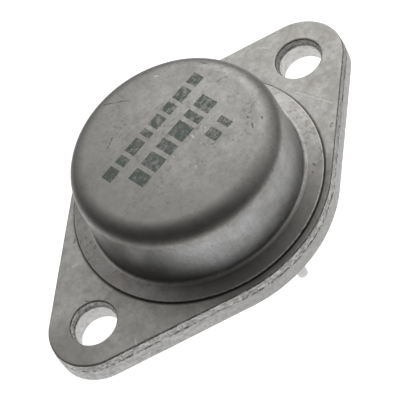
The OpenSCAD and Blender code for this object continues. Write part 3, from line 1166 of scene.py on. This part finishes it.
@dataclass
class Flange:
    """Punched diamond plate with rolled edges, torn upper bands and two mounting holes."""

    pins: Sequence[PinPlace]
    hole_x: float
    hole_r: float
    end_r: float
    mid_r: float
    thick: float
    brim_r: float
    edge_roll: float = 0.2
    roll_steps: int = 5
    shear_h: float = 1.55
    shear_zs: Point = (0.65, 1.1)
    shear_margin: float = 0.12
    lean: float = 0.08
    torn_steps: int = 9
    edge_round: float = 0.15
    flat_margin: float = 0.1
    hole_spread: float = 0.18
    hole_shear_h: float = 1.75
    hole_shear_zs: Point = (0.7, 1.2)
    hole_lip: float = 0.15
    lip_steps: int = 4
    hole_torn_steps: int = 6
    hole_segments: int = 180
    seal_segments: int = 96
    step: float = 0.09
    least_steps: int = 8
    wave_mm: float = 0.012
    wave_steps: float = 0.5
    wave_shift: float = 3.0
    tear_mm: float = 0.045
    wall_start: float = 0.5
    wall_tearing: Point = (0.2, 1.6)
    hole_start: Point = (0.4, 0.8)
    reliefs: tuple[Relief, ...] = (Relief((1.9, 1.9, 5.0), 0.0, 0.9), Relief((5.5, 5.5, 9.0), 9.0, 0.55))
    sharp_deg: float = 50.0
    # The torn band's painted shade darkens it towards the +X end; the sheared band's leaves it lighter at the
    # -X end.
    torn: PunchedWall = PunchedWall(
        colour=(0.63, 0.625, 0.61), shade=(0.33, 0.325, 0.315), tear=(0.11, 0.105, 0.10), sheen=Sheen(0.55),
        tear_from=0.64, grain_mm=0.05, seam_pull=0.14, side_shade=Fade(5.0, 12.0, 0.0, 0.6))
    # Painted shade: the outer sheared band is a darker copy of the bores' finish.
    sheared: PunchedWall = PunchedWall(
        colour=(0.52, 0.515, 0.505), shade=(0.36, 0.355, 0.345), tear=(0.22, 0.215, 0.21), sheen=Sheen(0.45),
        tear_from=0.68, grain_mm=0.006, side_shade=Fade(-13.0, -4.0, 0.0, 0.6))
    # Painted light: the bores are a lighter copy of the outer sheared band's finish.
    bore: PunchedWall = PunchedWall(
        colour=(0.60, 0.595, 0.585), shade=(0.50, 0.495, 0.485), tear=(0.22, 0.215, 0.21), sheen=Sheen(0.45),
        tear_from=0.68, grain_mm=0.006)

    @classmethod
    def from_frame(cls, pins: Sequence[PinPlace], brim_r: float) -> "Flange":
        """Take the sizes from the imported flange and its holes.

        Args:
            pins: The pins that go through the flange.
            brim_r: Radius of the cap's brim, which stands on the flange.

        Returns:
            The flange, not built yet.
        """
        _, (end_x, side_y, top_z) = corners("base_flange")
        holes = mount_sizes("mounting_holes")
        hole_x = holes["spacing_x_mm"] / 2
        return cls(pins, hole_x, holes["hole_r_mm"], round(end_x - hole_x, 3), side_y, top_z, brim_r)

    def outline(self) -> list[tuple[Vector, Vector]]:
        """Walk around the plate's outline.

        Returns:
            Points on the outline and their outward normals.
        """
        touch = math.acos((self.mid_r - self.end_r) / self.hole_x)
        side = self.hole_x * math.sin(touch)
        points = []
        for centre, radius, start, end in ((self.hole_x, self.end_r, -touch, touch),
                                           (0.0, self.mid_r, touch, math.pi - touch),
                                           (-self.hole_x, self.end_r, math.pi - touch, math.pi + touch),
                                           (0.0, self.mid_r, math.pi + touch, 2.0 * math.pi - touch)):
            count = max(self.least_steps, round(radius * (end - start) / self.step))
            for i in range(count + 1):
                a = start + (end - start) * i / count
                normal = Vector((math.cos(a), math.sin(a), 0.0))
                points.append((Vector((centre, 0.0, 0.0)) + normal * radius, normal))
            last, normal = points[-1]
            along = Vector((-normal.y, normal.x, 0.0))
            run = round(side / self.step)
            points.extend((last + along * side * i / run, normal) for i in range(1, run))
        return points

    def tear(self, at: Vector, share: float) -> float:
        """Return how deep the wall is torn at a place, in millimetres, for a share of the full depth."""
        return share * self.tear_mm * max(0.0, sum(relief.value(at) for relief in self.reliefs))

    def wall_levels(self) -> list[Level]:
        """List the outer wall's levels.

        Returns:
            The levels from the bottom up, each with its inset.
        """
        roll, rounding, top = self.edge_roll, self.edge_round, self.thick - self.edge_round
        rows = [Level(roll + self.flat_margin, 0.0, 0.0, Band.FACE)]
        rows += [Level(-x, z, 0.0, Band.SHEARED)
                 for x, z in arc((-roll, roll), roll, roll, -90.0, 0.0, self.roll_steps)]
        rows += [Level(0.0, z, 0.0, Band.SHEARED) for z in (*self.shear_zs, self.shear_h - self.shear_margin)]
        rows.append(Level(0.0, self.shear_h, self.wall_start, Band.TORN))
        least, swelling = self.wall_tearing
        for i in range(1, self.torn_steps):
            t = i / self.torn_steps
            torn = min(1.0, least + swelling * math.sin(math.pi * t))
            rows.append(Level(self.lean * t, self.shear_h + (top - self.shear_h) * t, torn, Band.TORN))
        edge = (-self.lean - rounding, top)
        rows += [Level(-x, z, 0.0, Band.FACE)
                 for x, z in arc(edge, rounding, rounding, 0.0, 90.0, self.roll_steps)]
        rows.append(Level(self.lean + rounding + self.flat_margin, self.thick, 0.0, Band.FACE))
        return rows

    def mounting_levels(self) -> list[Level]:
        """List a mounting hole's levels.

        Returns:
            The levels from the bottom up, each with its radius.
        """
        lip, low, top = self.hole_lip, self.hole_shear_h, self.thick - self.hole_lip
        wide = self.hole_r + self.hole_spread
        half = self.hole_spread / 2
        rows = [Level(self.hole_r + lip + self.flat_margin, 0.0, 0.0, Band.FACE)]
        rows += [Level(r, z, 0.0, Band.BORE)
                 for r, z in arc((self.hole_r + lip, lip), lip, lip, 270.0, 180.0, self.lip_steps)]
        rows += [Level(self.hole_r, z, 0.0, Band.BORE)
                 for z in (*self.hole_shear_zs, low - self.shear_margin)]
        rows.append(Level(self.hole_r, low, self.hole_start[0], Band.TORN))
        rows.append(Level(wide - half, low + lip, self.hole_start[1], Band.TORN))
        for i in range(1, self.hole_torn_steps):
            t = i / self.hole_torn_steps
            rows.append(Level(wide - half * (1.0 - t), low + lip + (top - low - lip) * t, 1.0, Band.TORN))
        rows += [Level(r, z, 0.0, Band.FACE)
                 for r, z in arc((wide + lip, top), lip, lip, 180.0, 90.0, self.lip_steps)]
        rows.append(Level(wide + lip + self.flat_margin, self.thick, 0.0, Band.FACE))
        return rows

    def bridge(self, bm: bmesh.types.BMesh, rings: list[Loop], levels: list[Level]) -> tuple[Loop, Loop]:
        """Join rings of equal length with quads.

        Args:
            bm: The mesh.
            rings: The rings, from the bottom up.
            levels: The level of each ring.

        Returns:
            The bottom ring and the top ring.
        """
        for lower, upper, level in zip(rings, rings[1:], levels):
            for i in range(len(lower)):
                j = (i + 1) % len(lower)
                face = bm.faces.new((lower[i], lower[j], upper[j], upper[i]))
                face.material_index = level.band.value
        return rings[0], rings[-1]

    def add_wall(self, bm: bmesh.types.BMesh) -> tuple[Loop, Loop]:
        """Add the outer wall.

        Args:
            bm: The mesh.

        Returns:
            The bottom ring and the top ring.
        """
        path = self.outline()
        levels = self.wall_levels()
        rings = []
        for level in levels:
            ring = []
            for at, normal in path:
                wave = smooth_noise(at.x * self.wave_steps, at.y * self.wave_steps, self.wave_shift) - 1.0
                place = at + normal * (self.wave_mm * wave - level.size)
                place.z = level.z
                ring.append(bm.verts.new(place - normal * self.tear(place, level.torn)))
            rings.append(ring)
        return self.bridge(bm, rings, levels)

    def add_hole(self, bm: bmesh.types.BMesh, centre: Point, levels: list[Level],
                 count: int) -> tuple[Loop, Loop]:
        """Add a hole's wall.

        Args:
            bm: The mesh.
            centre: Place of the hole.
            levels: The hole's levels, from the bottom up.
            count: Steps around.

        Returns:
            The bottom ring and the top ring.
        """
        rings = []
        for level in levels:
            ring = []
            for i in range(count):
                a = 2.0 * math.pi * i / count
                out = Vector((math.cos(a), math.sin(a), 0.0))
                place = Vector((*centre, level.z)) + out * level.size
                ring.append(bm.verts.new(place + out * self.tear(place, level.torn)))
            rings.append(ring)
        return self.bridge(bm, rings, levels)

    def build(self) -> bpy.types.Object:
        """Build the dressed flange, which stands for the plain one.

        Returns:
            The flange.
        """
        bm = bmesh.new()
        walls = [self.add_wall(bm)]
        for x in (self.hole_x, -self.hole_x):
            walls.append(self.add_hole(bm, (x, 0.0), self.mounting_levels(), self.hole_segments))
        for pin in reversed(self.pins):
            seat = [Level(pin.seal_r, z, 0.0, Band.FACE) for z in (0.0, self.thick)]
            walls.append(self.add_hole(bm, (pin.x, pin.y), seat, self.seal_segments))
        for rings in zip(*walls):
            edges = [bm.edges.get(pair) for ring in rings for pair in zip(ring, ring[1:] + ring[:1])]
            bmesh.ops.triangle_fill(bm, use_beauty=True, use_dissolve=False, edges=edges)
        finishes = {Band.FACE: TumbledPlate(self.thick, self.brim_r).build("flange_face"),
                    Band.TORN: self.torn.build("flange_torn"),
                    Band.SHEARED: self.sheared.build("flange_sheared"),
                    Band.BORE: self.bore.build("hole_bore")}
        piece = make_object("dressed_flange", bm, [finishes[band] for band in Band])
        shade_smooth(piece, self.sharp_deg)
        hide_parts("base_flange")
        return piece


@dataclass
class Cap:
    """Drawn cap with its domed top, soft shoulder, thin brim edge and weld ridge."""

    base_z: float
    brim_r: float
    height: float
    sheet: float = 0.45
    brim_edge: float = 0.2
    edge_round: float = 0.08
    ridge_h: float = 0.06
    ridge_margin: float = 0.4
    wall_base_r: float = 9.8
    wall_top_r: float = 9.58
    fillet: float = 0.25
    shoulder_w: float = 1.9
    shoulder_h: float = 1.75
    dome: float = 0.1
    brim_shares: Place = (0.25, 0.5, 0.75)
    wall_shares: tuple[float, ...] = (0.15, 0.3, 0.45, 0.6, 0.75, 0.9)
    dome_shares: tuple[float, ...] = (0.92, 0.8, 0.65, 0.5, 0.35, 0.2, 0.08, 0.0)
    ridge_lean: float = 0.25
    ceiling_share: float = 0.5
    ceiling_drop: float = 0.25
    edge_steps: int = 4
    fillet_steps: int = 14
    shoulder_steps: int = 28
    ceiling_steps: int = 12
    bend_steps: int = 8
    segments: int = 288
    still_h: float = 0.01
    uneven_mm: Point = (-0.03, -0.02)
    uneven_steps: Point = (0.22, 0.3)
    uneven_shift: Point = (4.0, 7.0)
    lift_layer: float = 1.0
    sharp_deg: float = 50.0

    @classmethod
    def from_frame(cls) -> "Cap":
        """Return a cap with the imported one's base, brim and height."""
        (_, _, base_z), (brim_r, _, height) = corners("cap")
        return cls(base_z, brim_r, height)

    @property
    def flat_r(self) -> float:
        """Return the radius at which the shoulder begins."""
        return self.wall_top_r - self.shoulder_w

    @property
    def low(self) -> float:
        """Return the height of the brim's underside beside the weld ridge."""
        return self.base_z + self.ridge_h

    def outside(self) -> Ring:
        """Walk up the cap's outer side.

        Returns:
            Points from the weld ridge, round the brim and up to the middle of the top.
        """
        low, edge, fillet = self.low, self.edge_round, self.fillet
        high = low + self.sheet
        crown = self.height - self.dome
        wall_end = crown - self.shoulder_h
        ridge_in, ridge_out = self.wall_base_r + fillet + self.ridge_margin, self.brim_r - self.ridge_margin
        lean = (ridge_out - ridge_in) * self.ridge_lean
        ring = [(ridge_in, low), (ridge_in + lean, self.base_z)]
        ring += [(ridge_out - lean, self.base_z), (ridge_out, low)]
        ring += arc((self.brim_r - edge, low + edge), edge, edge, -90.0, 0.0, self.edge_steps)
        over = (self.brim_r - edge, low + self.brim_edge - edge)
        ring += arc(over, edge, edge, 0.0, 90.0, self.edge_steps)
        ring += between(ring[-1], (self.wall_base_r + fillet, high), self.brim_shares)
        foot = (self.wall_base_r + fillet, high + fillet)
        ring += arc(foot, fillet, fillet, 270.0, 180.0, self.fillet_steps)
        ring += between((self.wall_base_r, high + fillet), (self.wall_top_r, wall_end), self.wall_shares)
        ring += arc((self.flat_r, wall_end), self.shoulder_w, self.shoulder_h, 0.0, 90.0, self.shoulder_steps)
        ring += [(self.flat_r * t, crown + self.dome * (1.0 - t * t)) for t in self.dome_shares]
        return ring

    def inside(self) -> Ring:
        """Walk down the cap's inner side.

        Returns:
            Points from the middle of the ceiling to the bend above the flange.
        """
        sheet, bend = self.sheet, self.fillet + self.sheet
        ceiling = self.height - sheet
        ring = [(0.0, ceiling), (self.flat_r * self.ceiling_share, ceiling - self.dome * self.ceiling_drop)]
        ring += arc((self.flat_r, self.height - self.dome - self.shoulder_h), self.shoulder_w - sheet,
                    self.shoulder_h - sheet, 90.0, 0.0, self.ceiling_steps)
        foot = (self.wall_base_r - sheet + bend, self.low + bend)
        ring += arc(foot, bend, bend, 180.0, 270.0, self.bend_steps)
        return ring

    def nudge(self, r: float, a: float, z: float) -> Vector:
        """Work out the small unevenness of the drawn sheet.

        Args:
            r: Radius of the place.
            a: Its angle.
            z: Its height.

        Returns:
            The shift in millimetres, none at the weld ridge.
        """
        if z < self.low + self.still_h:
            return Vector((0.0, 0.0, 0.0))
        x, y = r * math.cos(a), r * math.sin(a)
        side, top = self.uneven_steps
        inward = self.uneven_mm[0] * swell(x * side, y * side, z * side + self.uneven_shift[0])
        lift = self.uneven_mm[1] * swell(x * top + self.uneven_shift[1], y * top, self.lift_layer)
        return Vector((math.cos(a) * inward, math.sin(a) * inward, lift))

    def build(self) -> bpy.types.Object:
        """Build the dressed cap, which stands for the plain one.

        Returns:
            The cap.
        """
        bm = lathe(self.outside() + self.inside(), self.segments, self.nudge)
        piece = make_object("dressed_cap", bm, [DrawnCap(self.brim_r).build("cap_finish")])
        shade_smooth(piece, self.sharp_deg)
        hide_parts("cap")
        return piece


@dataclass
class Pin:
    """Tinned round pin with a blunt tip, slightly uneven where the tin ran."""

    place: PinPlace
    tip: float = 0.3
    tip_gap: float = 0.002
    tip_steps: int = 8
    tin_t: float = 0.02
    tin_run: float = 0.6
    tin_steps: int = 60
    chamfer: float = 0.08
    segments: int = 48
    uneven_mm: float = -0.012
    uneven_steps: Point = (0.8, 0.4)
    sharp_deg: float = 40.0

    def section(self) -> Ring:
        """Walk along the pin's section.

        Returns:
            Points from the tip up to the head, closed by the axis.
        """
        place, low = self.place, self.place.low + self.tip_gap
        start = low + self.tip
        wire = place.r - self.tin_t
        ring = [(0.0, low)]
        ring += arc((place.r - self.tip, start), self.tip, self.tip, -90.0, 0.0, self.tip_steps)
        ring += between((place.r, start), (place.r, -self.tin_run),
                        (i / self.tin_steps for i in range(1, self.tin_steps + 1)))
        ring += [(wire, 0.0), (wire, place.high - self.chamfer)]
        ring += [(wire - self.chamfer, place.high), (0.0, place.high)]
        return ring

    def nudge(self, r: float, a: float, z: float) -> Vector:
        """Work out the unevenness of the tin.

        Args:
            r: Radius of the place, which changes nothing.
            a: Its angle.
            z: Its height.

        Returns:
            The shift in millimetres, none above the tin's end.
        """
        if z > TINY - self.tin_run:
            return Vector((0.0, 0.0, 0.0))
        around, along = self.uneven_steps
        x, y = math.cos(a) * around + self.place.x, math.sin(a) * around + self.place.y
        inward = self.uneven_mm * swell(x, y, z * along)
        return Vector((math.cos(a) * inward, math.sin(a) * inward, 0.0))

    def build(self, finish: bpy.types.Material) -> bpy.types.Object:
        """Build the dressed pin, which stands for the plain one.

        Args:
            finish: The pin's material.

        Returns:
            The pin.
        """
        bm = lathe(self.section(), self.segments, self.nudge)
        bmesh.ops.translate(bm, vec=(self.place.x, self.place.y, 0.0), verts=bm.verts)
        piece = make_object("dressed_" + self.place.node, bm, [finish])
        shade_smooth(piece, self.sharp_deg)
        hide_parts(self.place.node)
        return piece


@dataclass
class Seal:
    """Fused glass ring that wets the flange and creeps up its pin."""

    place: PinPlace
    thick: float
    pin_r: float = 0.48
    sink: float = 0.15
    creep: float = 0.25
    creep_fall: float = 6.0
    wet: float = 0.075
    wet_fall: float = 9.0
    under_share: float = 0.5
    steps: int = 14
    segments: int = 72
    sharp_deg: float = 40.0

    def face(self, z: float, way: float) -> Ring:
        """Walk across one hollow face, from the pin outwards.

        Args:
            z: Height of the hollow.
            way: 1 for a face that rises at the full height, less for a weaker one, negative downwards.

        Returns:
            The face's points.
        """
        ring = []
        for i in range(self.steps + 1):
            t = i / self.steps
            at_pin = self.creep * math.exp(-self.creep_fall * t)
            at_plate = self.wet * math.exp(-self.wet_fall * (1.0 - t))
            ring.append((self.pin_r + (self.place.seal_r - self.pin_r) * t, z + way * (at_pin + at_plate)))
        return ring

    def build(self, finish: bpy.types.Material) -> bpy.types.Object:
        """Build the dressed seal, which stands for the plain one.

        Args:
            finish: The seal's material.

        Returns:
            The seal.
        """
        top = self.face(self.thick - self.sink, 1.0)
        bottom = self.face(self.sink, -self.under_share)
        bm = lathe(top + bottom[::-1], self.segments)
        bmesh.ops.translate(bm, vec=(self.place.x, self.place.y, 0.0), verts=bm.verts)
        piece = make_object("dressed_" + self.place.seal, bm, [finish])
        shade_smooth(piece, self.sharp_deg)
        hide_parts(self.place.seal)
        return piece


@dataclass(frozen=True)
class PrintRow:
    """One row of plain printed blocks on the cap's top."""

    start: Point
    block_w: float
    height: float
    gap: float
    widths: tuple[float, ...]


@dataclass
class TopPrint:
    """Rows of plain, generic blocks in dark ink, following the cap's slightly domed top."""

    cap: Cap
    tilt_deg: float = -4.0
    lift: float = 0.004
    columns: int = 6
    lines: int = 8
    rows: tuple[PrintRow, ...] = (
        PrintRow((-5.75, 2.4), 1.3, 1.15, 0.42, (1.0, 0.7, 1.2, 0.5, 1.0, 0.8, 1.1, 0.9)),
        PrintRow((-4.6, -0.2), 1.35, 1.8, 0.45, (0.9, 1.1, 0.8, 1.2, 0.6, 1.0)),
        PrintRow((2.1, -3.0), 1.0, 1.35, 0.6, (1.0, 0.7)),
    )

    def top_z(self, x: float, y: float) -> float:
        """Measure the height of the cap's top.

        Args:
            x: Place on the top.
            y: Place on the top.

        Returns:
            The height in millimetres.
        """
        r = math.hypot(x, y)
        share = min(1.0, r / self.cap.flat_r)
        lift = self.cap.nudge(r, math.atan2(y, x), self.cap.height).z
        return self.cap.height - self.cap.dome * share * share + lift

    def block(self, bm: bmesh.types.BMesh, low: Point, width: float, height: float, turn: Matrix) -> None:
        """Add one block as a fine grid that lies on the top.

        Args:
            bm: The mesh.
            low: Lower left corner, before the row's tilt.
            width: Width of the block.
            height: Height of the block.
            turn: The row's tilt.
        """
        grid = []
        for j in range(self.lines + 1):
            line = []
            for i in range(self.columns + 1):
                corner = Vector((low[0] + width * i / self.columns, low[1] + height * j / self.lines, 0.0))
                at = turn @ corner
                line.append(bm.verts.new((at.x, at.y, self.top_z(at.x, at.y) + self.lift)))
            grid.append(line)
        for under, over in zip(grid, grid[1:]):
            for i in range(self.columns):
                bm.faces.new((under[i], under[i + 1], over[i + 1], over[i]))

    def build(self) -> bpy.types.Object:
        """Build the print.

        Returns:
            The print.
        """
        bm = bmesh.new()
        turn = Matrix.Rotation(math.radians(self.tilt_deg), 3, "Z")
        for row in self.rows:
            x = row.start[0]
            for share in row.widths:
                width = row.block_w * share
                self.block(bm, (x, row.start[1] - row.height / 2), width, row.height, turn)
                x += width + row.gap
        return make_object("top_print", bm, [WornInk().build("dark_ink")])


@dataclass(frozen=True)
class InnerFinish:
    """One finish inside the can: its name, how it is made and the nodes that take it."""

    name: str
    finish: PlainMetal | PlainBody
    nodes: tuple[str, ...]


@dataclass
class InnerWorks:
    """The sealed pieces inside the can, which keep their CAD shapes and take their finishes."""

    finishes: tuple[InnerFinish, ...] = (
        InnerFinish("silver_braze", PlainMetal((0.66, 0.62, 0.52), (0.50, 0.46, 0.38), Sheen(0.32)),
                    ("spreader_braze",)),
        InnerFinish("bare_copper", PlainMetal((0.72, 0.40, 0.27), (0.55, 0.29, 0.19), Sheen(0.34)),
                    ("heat_spreader",)),
        InnerFinish("chip_silicon",
                    PlainBody((0.16, 0.17, 0.20), (0.22, 0.23, 0.26), Sheen(0.22, 0.05, 0.05), 0.3),
                    ("silicon_die",)),
        InnerFinish("soft_solder", PlainMetal((0.56, 0.56, 0.57), (0.42, 0.42, 0.43), Sheen(0.30)),
                    ("die_solder", "base_die_solder", "emitter_die_solder", "base_pin_solder",
                     "emitter_pin_solder")),
        InnerFinish("tinned_strip", PlainMetal((0.66, 0.63, 0.55), (0.50, 0.47, 0.40), Sheen(0.28)),
                    ("base_clip", "emitter_clip")),
        InnerFinish("silicone_dab",
                    PlainBody((0.80, 0.80, 0.77), (0.70, 0.70, 0.66), Sheen(0.42, 0.05, 0.05), 0.2),
                    ("junction_coating",)),
    )

    def dress(self) -> list[bpy.types.Object]:
        """Give each inner node its material.

        Returns:
            The nodes dressed.
        """
        dressed = []
        for inner in self.finishes:
            material = inner.finish.build(inner.name)
            for name in inner.nodes:
                node = frame["nodes"][name]
                node.data.materials.clear()
                node.data.materials.append(material)
                dressed.append(node)
        return dressed


@dataclass
class Leads:
    """The two tinned pins in their glass seals."""

    pins: Sequence[PinPlace]
    thick: float
    tin: PlainMetal = PlainMetal((0.66, 0.65, 0.63), (0.54, 0.53, 0.51), Sheen(0.34), Grain(4.0, 3.0, 0.6),
                                 grain_mm=0.005)
    glass: PlainBody = PlainBody((0.035, 0.05, 0.06), (0.07, 0.09, 0.10), Sheen(0.12, 0.05, 0.05), 0.4)

    def build(self) -> list[bpy.types.Object]:
        """Build both pins and both seals.

        Returns:
            The four pieces.
        """
        tin, glass = self.tin.build("tinned_pin"), self.glass.build("sealing_glass")
        pieces = []
        for place in self.pins:
            pieces += [Pin(place).build(tin), Seal(place, self.thick).build(glass)]
        return pieces


def report(pieces: Iterable[bpy.types.Object]) -> None:
    """Log each piece with its count of faces."""
    for piece in pieces:
        LOG.info("%s: %d faces", piece.name, len(piece.data.polygons))


def main() -> None:
    """Build the whole picture around the frame."""
    logging.basicConfig(level=logging.INFO, format="%(name)s: %(message)s")
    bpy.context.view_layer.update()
    pins = [PinPlace.from_frame(node) for node in ("base_pin", "emitter_pin")]
    cap = Cap.from_frame()
    flange = Flange.from_frame(pins, cap.brim_r)
    Studio(min(pin.low for pin in pins)).build()
    report([flange.build()])
    report([cap.build(), TopPrint(cap).build()])
    report(Leads(pins, flange.thick).build())
    report(InnerWorks().dress())


if __name__ == "__main__":
    main()
